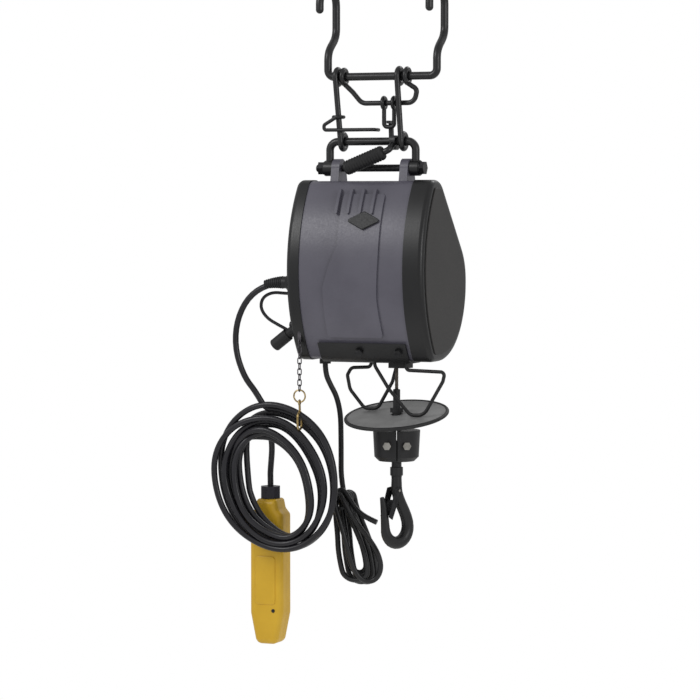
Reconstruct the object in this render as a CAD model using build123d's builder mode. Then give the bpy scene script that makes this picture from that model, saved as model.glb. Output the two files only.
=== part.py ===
"""Suspended electric wire-rope hoist with a hand pendant, modelled hanging from a scaffold tube.

Units are millimetres. +Z is up, +X runs along the hoist's body towards its gear end, and -Y is the front.
The origin is on the axis of the tube that the hanger's two hooks hold, above the middle of the hanger bail.
"""

import os
from math import acos, atan2, cos, degrees, hypot, pi, radians, sin, sqrt, tan

from build123d import *

# ---------------------------------------------------------------- driving dimensions
RUNNING = 0.05  # radial clearance of a shaft in its bearing
LOOSE = 0.6  # radial clearance of an eye on its bar
GAP = 0.3  # clearance between parts that only come near each other

# hanger
TUBE_R = 24.3  # the scaffold tube that the hooks take
BAR_D = 11.0  # hanger frame and bail
LINK_D = 8.0
CRADLE_D = 7.0
LATCH_D = 6.0
KEEPER_D = 5.0
HOOK_STEM = 28.0  # straight part of a hook below the tube's axis, at its back
HOOK_TIP = 6.0  # and at its front
TOP_BAR_Z = -98.0
BAIL_BAR_Z = -188.0
FRAME_LEFT_X = -67.0
FRAME_RIGHT_X = 95.0
BAIL_HALF = 64.0
BAIL_EYE_W = 12.4
LUG_X = 51.0
LUG_THICK = 12.0
BOLT_R = 5.0
BOLT_Z = -225.0

# body: an egg-shaped section run along X
BODY_Z = -367.0
BODY_HALF_H = 124.0
FRONT_Y = -69.0
BACK_Y = 110.0
WALL = 5.0
LEFT_END = -103.0
LEFT_SEAM = -83.0
RIGHT_SEAM = 71.0
RIGHT_END = 100.0
COVER_WALL = 4.0

# drive
MODULE = 1.5
PINION_TEETH = 12
WHEEL_TEETH = 60
ADDENDUM = 0.75  # of the module, short enough for a 12-tooth pinion
DEDENDUM = 1.0
BACKLASH = 0.16
MOTOR_Y = -12.0
MOTOR_Z = BODY_Z + 18.0
DRUM_Y = 42.0
DRUM_Z = BODY_Z - 14.0
DRUM_CORE_R = 26.0
FLANGE_R = 50.0
DRUM_LEFT = -6.0
DRUM_RIGHT = 62.0
FLANGE_THICK = 3.0
ROPE_D = 5.0
MOTOR_R = 46.0
ROTOR_R = 25.5
SHAFT_R = 6.0
DRUM_SHAFT_R = 8.0
COUNTER_R = 4.5

# hook line
ROPE_X = 36.0
DISC_Z = -570.0
DISC_NORMAL = (-0.016, -0.216, 1.0)  # the disc hangs loose on the rope and leans to the front
DISC_R = 71.0
DISC_THICK = 3.0
EDGING_R = 2.6
WEIGHT_R = 33.0
WEIGHT_TOP = -589.0
WEIGHT_H = 43.0
SHANK_R = 7.0
HOOK_TOP = -653.0
HOOK_R = 7.5

# cords and pendant
CABLE_D = 8.6
POWER_D = 7.6
THIN_D = 4.6
PENDANT_X = -160.0
PENDANT_Y = 10.0
PENDANT_TOP = -693.0
PENDANT_LENGTH = 207.0
PENDANT_W = 50.0
PENDANT_DEPTH = 38.0

body_bottom = BODY_Z - BODY_HALF_H
body_top = BODY_Z + BODY_HALF_H
gear_centres = MODULE * (PINION_TEETH + WHEEL_TEETH) / 2
pack_groove = 2.2  # radius of the rounded top of each turn
pack_r = DRUM_Y - ROPE_D / 2 - GAP - pack_groove  # the rope leaves at Y = 0 and clears the turns on the drum


def save(part, name):
    """Labels a finished piece and writes its STEP file."""
    part.label = name
    export_step(part, f"parts/{name}.step")


os.makedirs("parts", exist_ok=True)


# ---------------------------------------------------------------- shared shapes
def bent_rod(points, radii, diameter):
    """A round bar along straight runs joined by arcs."""
    with BuildPart() as rod:
        with BuildLine() as route:
            if len(points) == 2:
                Line(*points)
            else:
                FilletPolyline(*points, radius=radii)
        with BuildSketch(Plane(origin=route.line @ 0, z_dir=route.line % 0)):
            Circle(diameter / 2)
        sweep()
    return rod


def eye_radius(bar_d, rod_d):
    """Radius of an eye's centreline when a rod is bent loosely round a bar."""
    return bar_d / 2 + LOOSE + rod_d / 2


def ring_at(x, y, z, turn, radius, rod_d):
    """A ring of round rod; turn (0, 90, 0) makes its axis run along X, (90, 0, 0) along Y."""
    with BuildPart() as ring:
        with Locations(Location((x, y, z), turn)):
            Torus(radius, rod_d / 2)
    return ring


def eye_on_x(x, y, z, radius, rod_d):
    """A rod's eye that turns about a bar running along X."""
    return ring_at(x, y, z, (0, 90, 0), radius, rod_d).part


def cord_radii(points):
    """Arc radii of a cord's tube: as large as each corner's two runs allow."""
    found = []
    for before, corner, after in zip(points, points[1:], points[2:]):
        first = Vector(*corner) - Vector(*before)
        second = Vector(*after) - Vector(*corner)
        turn = radians(first.get_angle(second))
        found.append(0.45 * min(first.length, second.length) / tan(turn / 2))
    return found


def cord_tube(points, diameter, name):
    """The plain tube of a cord along its route."""
    radii = cord_radii(points)
    print(name, "radii", [round(r) for r in radii])
    tube = bent_rod(points, radii, diameter)
    return tube


def body_section(inset=0.0):
    """The egg-shaped cross-section of the body, in (Y, Z): bowed front, sloping upper back, round lower back."""
    with BuildSketch() as section:
        with BuildLine():
            ThreePointArc((-26, body_bottom), (FRONT_Y, BODY_Z), (-26, body_top))
            Line((-26, body_top), (6, body_top))
            Line((6, body_top), (BACK_Y, BODY_Z + 10))
            Line((BACK_Y, BODY_Z + 10), (BACK_Y, body_bottom))
            Line((BACK_Y, body_bottom), (-26, body_bottom))
        make_face()
        for corner, radius in (
            ((-26, body_top), 16),
            ((6, body_top), 30),
            ((BACK_Y, BODY_Z + 10), 66),
            ((BACK_Y, body_bottom), 104),
            ((-26, body_bottom), 16),
        ):
            fillet(section.vertices().sort_by_distance((corner[0], corner[1], 0))[0], radius)
        if inset:
            offset(amount=-inset, kind=Kind.ARC)
    return section.sketch


def front_y(z):
    """Y of the bowed front at a height, and the outward slope angle there in degrees."""
    sagitta = -26 - FRONT_Y
    radius = (BODY_HALF_H**2 + sagitta**2) / (2 * sagitta)
    rise = z - BODY_Z
    y = FRONT_Y + radius - sqrt(radius**2 - rise**2)
    return y, degrees(atan2(rise, sqrt(radius**2 - rise**2)))


def front_plane(x, z, proud=0.0):
    """A plane that lies on the bowed front at (x, z), facing outwards."""
    y, slope = front_y(z)
    normal = Vector(0, -cos(radians(slope)), sin(radians(slope)))
    return Plane(origin=Vector(x, y, z) + normal * proud, x_dir=(1, 0, 0), z_dir=normal)


def disc_on_x(x0, x1, y, z, radius, bore=0.0):
    """A plain disc or ring whose axis runs along X."""
    with BuildPart() as made:
        with BuildSketch(Plane.YZ.offset(x0)):
            with Locations((y, z)):
                Circle(radius)
                if bore:
                    Circle(bore, mode=Mode.SUBTRACT)
        extrude(amount=x1 - x0)
    return made


def gear_outline(teeth, y, z, turn):
    """Points round the rim of a spur gear at (y, z), with a tooth centred on the angle turn."""
    pitch_r = MODULE * teeth / 2
    base_r = pitch_r * cos(radians(20))
    tip_r = pitch_r + ADDENDUM * MODULE
    root_r = pitch_r - DEDENDUM * MODULE
    involute_at_pitch = tan(radians(20)) - radians(20)
    half_at_pitch = pi / (2 * teeth) - BACKLASH / (2 * pitch_r)

    def half_angle(r):
        pressure = acos(min(1.0, base_r / r))
        return half_at_pitch + involute_at_pitch - (tan(pressure) - pressure)

    low = max(base_r, root_r)
    flank = [low + (tip_r - low) * share for share in (0.0, 0.4, 0.75, 1.0)]
    points = []
    for tooth in range(teeth):
        centre = 2 * pi * tooth / teeth + radians(turn)
        if root_r < low:
            points.append((root_r, centre - half_angle(low)))
        points += [(r, centre - half_angle(r)) for r in flank]
        points += [(r, centre + half_angle(r)) for r in reversed(flank)]
        if root_r < low:
            points.append((root_r, centre + half_angle(low)))
    return [(y + r * cos(a), z + r * sin(a)) for r, a in points]


def spur_gear(teeth, x0, width, y, z, turn, bore, web=False):
    """A spur gear whose axis runs along X, turned so that a tooth points at angle turn in (Y, Z)."""
    with BuildPart() as gear:
        with BuildSketch(Plane.YZ.offset(x0)):
            with BuildLine():
                Polyline(*gear_outline(teeth, y, z, turn), close=True)
            make_face()
            with Locations((y, z)):
                Circle(bore, mode=Mode.SUBTRACT)
        extrude(amount=width)
        if web:
            pitch_r = MODULE * teeth / 2
            for side in (x0, x0 + width - width / 4):
                with BuildSketch(Plane.YZ.offset(side)):
                    with Locations((y, z)):
                        Circle(pitch_r * 0.84)
                        Circle(bore + 7, mode=Mode.SUBTRACT)
                extrude(amount=width / 4, mode=Mode.SUBTRACT)
    return gear


# ---------------------------------------------------------------- hanger frame: two hooks over the tube
hook_bend = TUBE_R + GAP + BAR_D / 2


def hanger_hook(x):
    """One hook: up from the bar, back, over the tube and down its front, with a mouth the tube passes."""
    lift = TOP_BAR_Z + 22
    with BuildPart() as hook:
        with BuildLine() as route:
            stem = Line((x, 0, TOP_BAR_Z + 10), (x, 0, lift))
            Spline(
                (x, 0, lift),
                (x, hook_bend, -HOOK_STEM),
                tangents=((0, 0, 1), (0, 0, 1)),
            )
            Line((x, hook_bend, -HOOK_STEM), (x, hook_bend, 0))
            ThreePointArc((x, hook_bend, 0), (x, 0, hook_bend), (x, -hook_bend, 0))
            Line((x, -hook_bend, 0), (x, -hook_bend, -HOOK_TIP))
        with BuildSketch(Plane(origin=stem @ 0, z_dir=(0, 0, 1))):
            Circle(BAR_D / 2)
        sweep(transition=Transition.ROUND)
        with Locations((x, -hook_bend, -HOOK_TIP)):
            Sphere(BAR_D / 2)
    return hook


bar_bend = 10.0
with BuildPart() as hanger_frame:
    add(
        bent_rod(
            [
                (FRAME_LEFT_X, 0, TOP_BAR_Z + 12),
                (FRAME_LEFT_X, 0, TOP_BAR_Z),
                (FRAME_RIGHT_X, 0, TOP_BAR_Z),
                (FRAME_RIGHT_X, 0, TOP_BAR_Z + 12),
            ],
            bar_bend,
            BAR_D,
        ).part
    )
    for prong_x in (FRAME_LEFT_X, FRAME_RIGHT_X):
        add(hanger_hook(prong_x).part)
save(hanger_frame.part, "hanger_frame")

# ---------------------------------------------------------------- two suspension links on the frame's bar
link_eye = eye_radius(BAR_D, LINK_D)
LINKS = ((-52.0, -44.0), (40.0, 46.0))  # X of each link's eye on the frame and of its eye on the bail
with BuildPart() as suspension_links:
    for top_x, foot_x in LINKS:
        add(eye_on_x(top_x, 0, TOP_BAR_Z, link_eye, LINK_D))
        add(eye_on_x(foot_x, 0, BAIL_BAR_Z, link_eye, LINK_D))
        add(bent_rod([(top_x, -link_eye, TOP_BAR_Z), (foot_x, -link_eye, BAIL_BAR_Z)], [], LINK_D).part)
save(suspension_links.part, "suspension_links")

# ---------------------------------------------------------------- cradle loop that hangs beside the links
CRADLE_EYES = (-42.5, 51.5)
CRADLE_FOOT_Z = TOP_BAR_Z - 37.0
cradle_eye = eye_radius(BAR_D, CRADLE_D)
eye_drop = TOP_BAR_Z - cradle_eye
with BuildPart() as cradle_loop:
    for eye_x in CRADLE_EYES:
        add(eye_on_x(eye_x, 0, TOP_BAR_Z, cradle_eye, CRADLE_D))
    add(
        bent_rod(
            [
                (CRADLE_EYES[0], 0, eye_drop),
                (CRADLE_EYES[0] + 13, 0, eye_drop - 12),
                (-16, 0, CRADLE_FOOT_Z),
                (62, 0, CRADLE_FOOT_Z),
                (66, 0, eye_drop - 9),
                (CRADLE_EYES[1], 0, eye_drop),
            ],
            [12, 14, 12, 7],
            CRADLE_D,
        ).part
    )
save(cradle_loop.part, "cradle_loop")

# ---------------------------------------------------------------- latch link that hangs on the cradle's foot
LATCH_XS = (17.0, 32.0)
LATCH_FOOT_Z = BAIL_BAR_Z + 20.0
latch_eye = eye_radius(CRADLE_D, LATCH_D)
with BuildPart() as latch_link:
    for leg_x in LATCH_XS:
        add(eye_on_x(leg_x, 0, CRADLE_FOOT_Z, latch_eye, LATCH_D))
    add(
        bent_rod(
            [
                (LATCH_XS[0], 0, CRADLE_FOOT_Z - latch_eye),
                (LATCH_XS[0], 0, LATCH_FOOT_Z),
                (LATCH_XS[1], 0, LATCH_FOOT_Z),
                (LATCH_XS[1], 0, CRADLE_FOOT_Z - latch_eye),
            ],
            5,
            LATCH_D,
        ).part
    )
save(latch_link.part, "latch_link")

# ---------------------------------------------------------------- keeper wire across the left link and the latch link
KEEPER_Z = BAIL_BAR_Z + 16.0
link_top_x, link_foot_x = LINKS[0]
keeper_eye = eye_radius(LINK_D, KEEPER_D)
keeper_eye_z = KEEPER_Z + 18
keeper_eye_x = link_top_x + (link_foot_x - link_top_x) * (keeper_eye_z - TOP_BAR_Z) / (BAIL_BAR_Z - TOP_BAR_Z)
keeper_y = -link_eye - keeper_eye
keeper_hook_x = LATCH_XS[0] - LATCH_D / 2 - KEEPER_D / 2 - 3
with BuildPart() as keeper_wire:
    add(ring_at(keeper_eye_x, -link_eye, keeper_eye_z, (0, 0, 0), keeper_eye, KEEPER_D).part)
    add(
        bent_rod(
            [
                (keeper_eye_x, keeper_y, keeper_eye_z),
                (keeper_eye_x - 19, keeper_y, KEEPER_Z + 7),
                (keeper_eye_x - 19, keeper_y, KEEPER_Z),
                (keeper_hook_x, keeper_y, KEEPER_Z),
                (keeper_hook_x, 1.0, KEEPER_Z),
            ],
            [3.0, 3.2, 4.5],
            KEEPER_D,
        ).part
    )
save(keeper_wire.part, "keeper_wire")

# ---------------------------------------------------------------- bail, its bolt, nut and washers
with BuildPart() as hanger_bail:
    add(
        bent_rod(
            [
                (-BAIL_HALF, 0, BOLT_Z + 6),
                (-BAIL_HALF, 0, BAIL_BAR_Z),
                (BAIL_HALF, 0, BAIL_BAR_Z),
                (BAIL_HALF, 0, BOLT_Z + 6),
            ],
            12,
            BAR_D,
        ).part
    )
    for leg_x in (-BAIL_HALF, BAIL_HALF):
        with BuildSketch(Plane.YZ.offset(leg_x - BAIL_EYE_W / 2)):
            with Locations((0, BOLT_Z)):
                Circle(BOLT_R + 6)
        extrude(amount=BAIL_EYE_W)
    with BuildSketch(Plane.YZ.offset(-BAIL_HALF - BAR_D)):
        with Locations((0, BOLT_Z)):
            Circle(BOLT_R + RUNNING)
    extrude(amount=2 * (BAIL_HALF + BAR_D), mode=Mode.SUBTRACT)
save(hanger_bail.part, "hanger_bail")

washer_thick = 1.6
bolt_seat = BAIL_HALF + BAIL_EYE_W / 2
bolt_head = 6.4
with BuildPart() as hanger_bolt:
    with BuildSketch(Plane.YZ.offset(-bolt_seat - washer_thick - 12)):
        with Locations((0, BOLT_Z)):
            Circle(BOLT_R)
    extrude(amount=2 * (bolt_seat + washer_thick) + 12)
    with BuildSketch(Plane.YZ.offset(bolt_seat + washer_thick)):
        with Locations((0, BOLT_Z)):
            RegularPolygon(17 / 2, 6, major_radius=False)
    extrude(amount=bolt_head)
    chamfer(hanger_bolt.faces().sort_by(Axis.X)[0].edges(), 1)
save(hanger_bolt.part, "hanger_bolt")

with BuildPart() as hanger_nut:
    with BuildSketch(Plane.YZ.offset(-bolt_seat - washer_thick - 8)):
        with Locations((0, BOLT_Z)):
            RegularPolygon(17 / 2, 6, major_radius=False)
            Circle(BOLT_R, mode=Mode.SUBTRACT)
    extrude(amount=8)
    for washer_x in (-bolt_seat - washer_thick, bolt_seat):
        with BuildSketch(Plane.YZ.offset(washer_x)):
            with Locations((0, BOLT_Z)):
                Circle(10)
                Circle(BOLT_R + RUNNING, mode=Mode.SUBTRACT)
        extrude(amount=washer_thick)
save(hanger_nut.part, "nut_and_washers")

# ---------------------------------------------------------------- lock lever and its grip
HUB_X = 33.0
HUB_W = 8.0
hub_r = BAR_D / 2 + LOOSE + 6
grip_y = -22.0
lever_top = (HUB_X, grip_y, BAIL_BAR_Z - 12)
lever_end = (-27.0, grip_y, BAIL_BAR_Z - 36)
finger_x = (LATCH_XS[0] + LATCH_XS[1]) / 2
with BuildPart() as lock_lever:
    with BuildSketch(Plane.YZ.offset(HUB_X - HUB_W / 2)):
        with Locations((0, BAIL_BAR_Z)):
            Circle(hub_r)
    extrude(amount=HUB_W)
    add(bent_rod([(HUB_X, -hub_r + 4, BAIL_BAR_Z - 4), lever_top, lever_end], [5], 9).part)
    with BuildSketch(Plane.YZ.offset(finger_x - 3)):
        with BuildLine():
            Polyline(
                (6.6, BAIL_BAR_Z + 4),
                (5.2, BAIL_BAR_Z + 24.6),
                (-3, BAIL_BAR_Z + 24.6),
                (-3, BAIL_BAR_Z + 28.6),
                (9.5, BAIL_BAR_Z + 28.6),
                (11.5, BAIL_BAR_Z + 4),
                close=True,
            )
        make_face()
    extrude(amount=HUB_X + HUB_W / 2 - finger_x + 3)
    with BuildSketch(Plane.YZ.offset(finger_x + 3)):
        with Locations((8, BAIL_BAR_Z + 20)):
            Rectangle(40, 24)
    extrude(amount=HUB_X, mode=Mode.SUBTRACT)
    with BuildSketch(Plane.YZ.offset(finger_x - 4)):
        with Locations((0, BAIL_BAR_Z)):
            Circle(BAR_D / 2 + LOOSE)
    extrude(amount=HUB_X, mode=Mode.SUBTRACT)
save(lock_lever.part, "lock_lever")

lever_line = Vector(*lever_end) - Vector(*lever_top)
lever_dir = lever_line.normalized()
grip_start = Vector(*lever_top) + lever_dir * 8
with BuildPart() as lever_grip:
    with BuildSketch(Plane(origin=grip_start, z_dir=lever_dir)):
        Circle(10.5)
    extrude(amount=lever_line.length - 2)
    fillet(lever_grip.edges().filter_by(GeomType.CIRCLE), 4)
    with BuildSketch(Plane(origin=grip_start, z_dir=lever_dir)):
        Circle(4.5)
    extrude(amount=lever_line.length - 8, mode=Mode.SUBTRACT)
save(lever_grip.part, "lever_grip")

# ---------------------------------------------------------------- main housing: cast shell, lugs, front panel
lug_r = 13.0
panel_x = (-26.0, 35.0)  # the raised front panel, left and right edge
panel_top = BODY_Z + 106
RIB_MID = -6.0
RIB_PITCH = 17.5
with BuildPart() as main_housing:
    with BuildSketch(Plane.YZ.offset(LEFT_SEAM)):
        add(body_section())
    extrude(amount=RIGHT_SEAM - LEFT_SEAM)
    # raised panel on the front: parallel at the top, waisted, then spreading to the foot
    with BuildPart(mode=Mode.PRIVATE) as proud_skin:
        with BuildSketch(Plane.YZ.offset(LEFT_SEAM)):
            add(body_section(-2.6))
        extrude(amount=RIGHT_SEAM - LEFT_SEAM)
    with BuildPart(mode=Mode.PRIVATE) as panel_prism:
        with BuildSketch(Plane.XZ.offset(-FRONT_Y - 40)):
            with BuildLine():
                Polyline(
                    (panel_x[0], panel_top),
                    (panel_x[1], panel_top),
                    (panel_x[1], BODY_Z + 20),
                    (panel_x[1] - 3, BODY_Z - 40),
                    (panel_x[1], BODY_Z - 92),
                    (panel_x[0] - 21, BODY_Z - 92),
                    (panel_x[0] - 21, BODY_Z - 24),
                    (panel_x[0] - 12, BODY_Z + 6),
                    (panel_x[0], BODY_Z + 36),
                    close=True,
                )
            make_face()
            fillet(vertices(), 4)
        extrude(amount=50)
    add(proud_skin.part & panel_prism.part)
    # four ribs above the badge
    with BuildPart(mode=Mode.PRIVATE) as rib_skin:
        with BuildSketch(Plane.YZ.offset(LEFT_SEAM)):
            add(body_section(-5.5))
        extrude(amount=RIGHT_SEAM - LEFT_SEAM)
    with BuildPart(mode=Mode.PRIVATE) as rib_prism:
        with BuildSketch(Plane.XZ.offset(-FRONT_Y - 40)):
            for rib in range(4):
                with Locations((RIB_MID + (rib - 1.5) * RIB_PITCH, BODY_Z + 96)):
                    SlotOverall(34, 4.2, rotation=90)
        extrude(amount=60)
    add(rib_skin.part & rib_prism.part)
    # lugs for the hanger bolt
    for lug_x in (-LUG_X, LUG_X):
        with BuildSketch(Plane.YZ.offset(lug_x - LUG_THICK / 2)):
            with BuildLine():
                Polyline(
                    (-19, body_top - 12),
                    (-lug_r, BOLT_Z),
                    (lug_r, BOLT_Z),
                    (22, body_top - 20),
                    close=True,
                )
            make_face()
            with Locations((0, BOLT_Z)):
                Circle(lug_r)
        extrude(amount=LUG_THICK)
    with BuildSketch(Plane.YZ.offset(-LUG_X - LUG_THICK)):
        with Locations((0, BOLT_Z)):
            Circle(BOLT_R + RUNNING)
    extrude(amount=2 * (LUG_X + LUG_THICK), mode=Mode.SUBTRACT)
    # cavity
    with BuildSketch(Plane.YZ.offset(LEFT_SEAM)):
        add(body_section(WALL))
    extrude(amount=RIGHT_SEAM - LEFT_SEAM, mode=Mode.SUBTRACT)
    # slot in the floor for the rope and the limit wires
    with BuildSketch(Plane.XY.offset(body_bottom - 1)):
        with Locations((ROPE_X - 8, 0)):
            Rectangle(86, 40)
    extrude(amount=WALL + 4, mode=Mode.SUBTRACT)
save(main_housing.part, "main_housing")

# ---------------------------------------------------------------- badge: a plain diamond on the panel
badge_z = BODY_Z + 68
with BuildPart() as badge:
    with BuildSketch(front_plane((panel_x[0] + panel_x[1]) / 2 + 6, badge_z, 2.6 + GAP)):
        with BuildLine():
            Polyline((-26, 0), (0, 13.5), (26, 0), (0, -13.5), close=True)
        make_face()
        fillet(vertices(), 3)
    extrude(amount=3)
    chamfer(badge.faces().sort_by(Axis.Y)[0].edges(), 0.8)
save(badge.part, "badge")

# ---------------------------------------------------------------- end covers
with BuildPart() as left_cover:
    with BuildSketch(Plane.YZ.offset(LEFT_END)):
        add(body_section(-1.5))
    extrude(amount=LEFT_SEAM - LEFT_END)
    fillet(left_cover.faces().sort_by(Axis.X)[0].edges(), 9)
    with BuildSketch(Plane.YZ.offset(LEFT_END + COVER_WALL)):
        add(body_section(COVER_WALL))
    extrude(amount=LEFT_SEAM - LEFT_END, mode=Mode.SUBTRACT)
    # air slots round the fan
    with BuildSketch(Plane.YZ.offset(LEFT_END - 1)):
        with Locations((MOTOR_Y, MOTOR_Z)):
            with PolarLocations(24, 14):
                SlotOverall(16, 3.2)
    extrude(amount=COVER_WALL + 2, mode=Mode.SUBTRACT)
save(left_cover.part, "left_cover")

panel_recess = 3.0
panel_inset = 9.0
with BuildPart() as right_cover:
    with BuildSketch(Plane.YZ.offset(RIGHT_SEAM)):
        add(body_section(-1.5))
    extrude(amount=RIGHT_END - RIGHT_SEAM)
    fillet(right_cover.faces().sort_by(Axis.X)[-1].edges(), 7)
    with BuildSketch(Plane.YZ.offset(RIGHT_SEAM)):
        add(body_section(COVER_WALL + 1))
    extrude(amount=RIGHT_END - RIGHT_SEAM - panel_recess - 1.6, mode=Mode.SUBTRACT)
    with BuildSketch(Plane.YZ.offset(RIGHT_END - panel_recess)):
        add(body_section(panel_inset))
    extrude(amount=panel_recess, mode=Mode.SUBTRACT)
save(right_cover.part, "right_cover")

with BuildPart() as end_panel:
    with BuildSketch(Plane.YZ.offset(RIGHT_END - panel_recess)):
        add(body_section(panel_inset + GAP))
    extrude(amount=panel_recess + 1.5)
    fillet(end_panel.faces().sort_by(Axis.X)[-1].edges(), 1.2)
save(end_panel.part, "end_panel")

COVER_SCREWS = ((-30, 84), (-44, -76), (34, 70), (80, -62), (20, -106))
with BuildPart() as cover_screws:
    for screw_y, screw_z in COVER_SCREWS:
        with BuildSketch(Plane.YZ.offset(LEFT_END)):
            with Locations((screw_y, BODY_Z + screw_z)):
                Circle(5)
        extrude(amount=-3)
    fillet(cover_screws.faces().group_by(Axis.X)[0].edges(), 1)
    for screw_y, screw_z in COVER_SCREWS:
        with BuildSketch(Plane.YZ.offset(LEFT_END - 3)):
            with Locations((screw_y, BODY_Z + screw_z)):
                RegularPolygon(2.5, 6)
        extrude(amount=1.8, mode=Mode.SUBTRACT)
    for spot_x in (-4.0, 54.0):
        with BuildSketch(front_plane(spot_x, BODY_Z - 109, 4.6)):
            RegularPolygon(5, 6, major_radius=False)
        extrude(amount=4)
save(cover_screws.part, "case_screws")

# ---------------------------------------------------------------- base saddle under the housing
BASE_X = (-64.0, 66.0)
base_edge = BODY_Z - 100
with BuildPart() as base_plate:
    with BuildSketch(Plane.YZ.offset(BASE_X[0])):
        add(body_section(-4))
        add(body_section(-GAP), mode=Mode.SUBTRACT)
        with Locations((0, base_edge + 150)):
            Rectangle(400, 300, mode=Mode.SUBTRACT)
    extrude(amount=BASE_X[1] - BASE_X[0])
    with BuildSketch(Plane.XY.offset(body_bottom - 6)):
        with Locations((ROPE_X, 0)):
            Circle(12)
    extrude(amount=8, mode=Mode.SUBTRACT)
save_base_later = base_plate

# ---------------------------------------------------------------- rope bush below the saddle
bush_top = body_bottom - 4 - GAP
with BuildPart() as rope_bush:
    with BuildSketch(Plane.XY.offset(bush_top)):
        with Locations((ROPE_X + 6, 0)):
            Rectangle(30, 24)
        fillet(vertices(), 4)
    extrude(amount=-7)
    with BuildSketch(Plane.XY.offset(bush_top)):
        with Locations((ROPE_X, 0)):
            Circle(11.5)
    extrude(amount=10)
    with BuildSketch(Plane.XY.offset(bush_top - 8)):
        with Locations((ROPE_X, 0)):
            Circle(ROPE_D / 2 + 2)
    extrude(amount=20, mode=Mode.SUBTRACT)
save(rope_bush.part, "rope_bush")

# ---------------------------------------------------------------- limit wires: two bent loops either side of the rope
WIRE_D = 5.0
WIRE_Y = 15.0
wire_top = body_bottom + 10
right_foot = DISC_Z + 3.4  # each loop's lowest run clears the leaning disc
left_foot = DISC_Z + 8.9
right_loop = [
    (9, -WIRE_Y, wire_top),
    (9, -WIRE_Y, body_bottom - 8),
    (30, -WIRE_Y, body_bottom - 40),
    (62, -WIRE_Y, right_foot),
    (82, -WIRE_Y, right_foot),
    (110, -WIRE_Y, body_bottom - 28),
    (113, -WIRE_Y, body_bottom - 15),
    (56, -WIRE_Y, body_bottom - 13.5),
    (56, -WIRE_Y, wire_top),
]
left_loop = [
    (-8, WIRE_Y, wire_top),
    (-8, WIRE_Y, body_bottom - 12),
    (-38, WIRE_Y, body_bottom - 13.5),
    (-44, WIRE_Y, body_bottom - 24),
    (-40, WIRE_Y, body_bottom - 44),
    (-18, WIRE_Y, left_foot),
    (2, WIRE_Y, left_foot),
    (24, WIRE_Y, body_bottom - 32),
    (30, WIRE_Y, body_bottom - 10),
    (30, WIRE_Y, wire_top),
]
with BuildPart() as limit_wires:
    add(bent_rod(right_loop, [14, 30, 12, 16, 7, 5, 5], WIRE_D).part)
    add(bent_rod(left_loop, [6, 8, 5, 16, 12, 12, 14, 12], WIRE_D).part)
    with BuildSketch(Plane.XY.offset(wire_top)):
        with Locations((23, 0)):
            RectangleRounded(76, 38, 3)
        with Locations((ROPE_X, 0)):
            Circle(9, mode=Mode.SUBTRACT)
    extrude(amount=3)
save(limit_wires.part, "limit_wires")

with BuildPart() as base_cut:
    add(save_base_later.part)
    for hole_x, hole_y in ((9, -WIRE_Y), (56, -WIRE_Y), (30, WIRE_Y), (-8, WIRE_Y)):
        with BuildSketch(Plane.XY.offset(body_bottom - 6)):
            with Locations((hole_x, hole_y)):
                SlotOverall(11, 7)
        extrude(amount=8, mode=Mode.SUBTRACT)
save(base_cut.part, "base_plate")

with BuildPart() as limit_switch:
    with BuildSketch(Plane.XY.offset(wire_top + 12)):
        with Locations((4, 0)):
            Rectangle(20, 30)
    extrude(amount=26)
    fillet(limit_switch.edges().filter_by(Axis.Z), 2)
    with BuildSketch(Plane.XY.offset(wire_top + 12)):
        with Locations((4, 0)):
            Circle(3)
    extrude(amount=-2)
save(limit_switch.part, "limit_switch")

# ---------------------------------------------------------------- motor
CORE_X = (-66.0, -26.0)
stator_core = disc_on_x(*CORE_X, MOTOR_Y, MOTOR_Z, MOTOR_R, ROTOR_R + 0.6)
save(stator_core.part, "motor_stator")

with BuildPart() as windings:
    for coil_x in (CORE_X[0] - 11, CORE_X[1]):
        add(disc_on_x(coil_x, coil_x + 11, MOTOR_Y, MOTOR_Z, MOTOR_R - 5, ROTOR_R + 3).part)
    fillet(windings.edges().filter_by(GeomType.CIRCLE), 3)
save(windings.part, "motor_windings")

STAGE_1 = (87.0, 6.5)  # start and width of the motor's gear pair
STAGE_2 = (74.5, 10.0)  # start and width of the drum's gear pair
pinion_bore = 4.0
motor_shaft_end = STAGE_1[0] - 1
with BuildPart() as motor_rotor:
    add(disc_on_x(-96, motor_shaft_end, MOTOR_Y, MOTOR_Z, SHAFT_R).part)
    add(disc_on_x(motor_shaft_end, STAGE_1[0] + STAGE_1[1], MOTOR_Y, MOTOR_Z, pinion_bore).part)
    add(disc_on_x(*CORE_X, MOTOR_Y, MOTOR_Z, ROTOR_R).part)
    add(disc_on_x(-87.5, -85, MOTOR_Y, MOTOR_Z, 30).part)  # brake disc
save(motor_rotor.part, "motor_rotor")

with BuildPart() as cooling_fan:
    add(disc_on_x(-97, -95, MOTOR_Y, MOTOR_Z, 34).part)
    add(disc_on_x(-95, -89, MOTOR_Y, MOTOR_Z, 12).part)
    for blade in range(9):
        with BuildSketch(Plane.YZ.offset(-95)):
            with Locations((MOTOR_Y, MOTOR_Z)):
                with Locations(Location((0, 0), 40 * blade)):
                    with Locations((22, 0)):
                        Rectangle(22, 2, rotation=20)
        extrude(amount=6)
    with BuildSketch(Plane.YZ.offset(-98)):
        with Locations((MOTOR_Y, MOTOR_Z)):
            Circle(SHAFT_R)
    extrude(amount=10, mode=Mode.SUBTRACT)
save(cooling_fan.part, "cooling_fan")

brake_magnet = disc_on_x(-84.5, -79, MOTOR_Y, MOTOR_Z, 38, 14)
save(brake_magnet.part, "brake_magnet")

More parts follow.
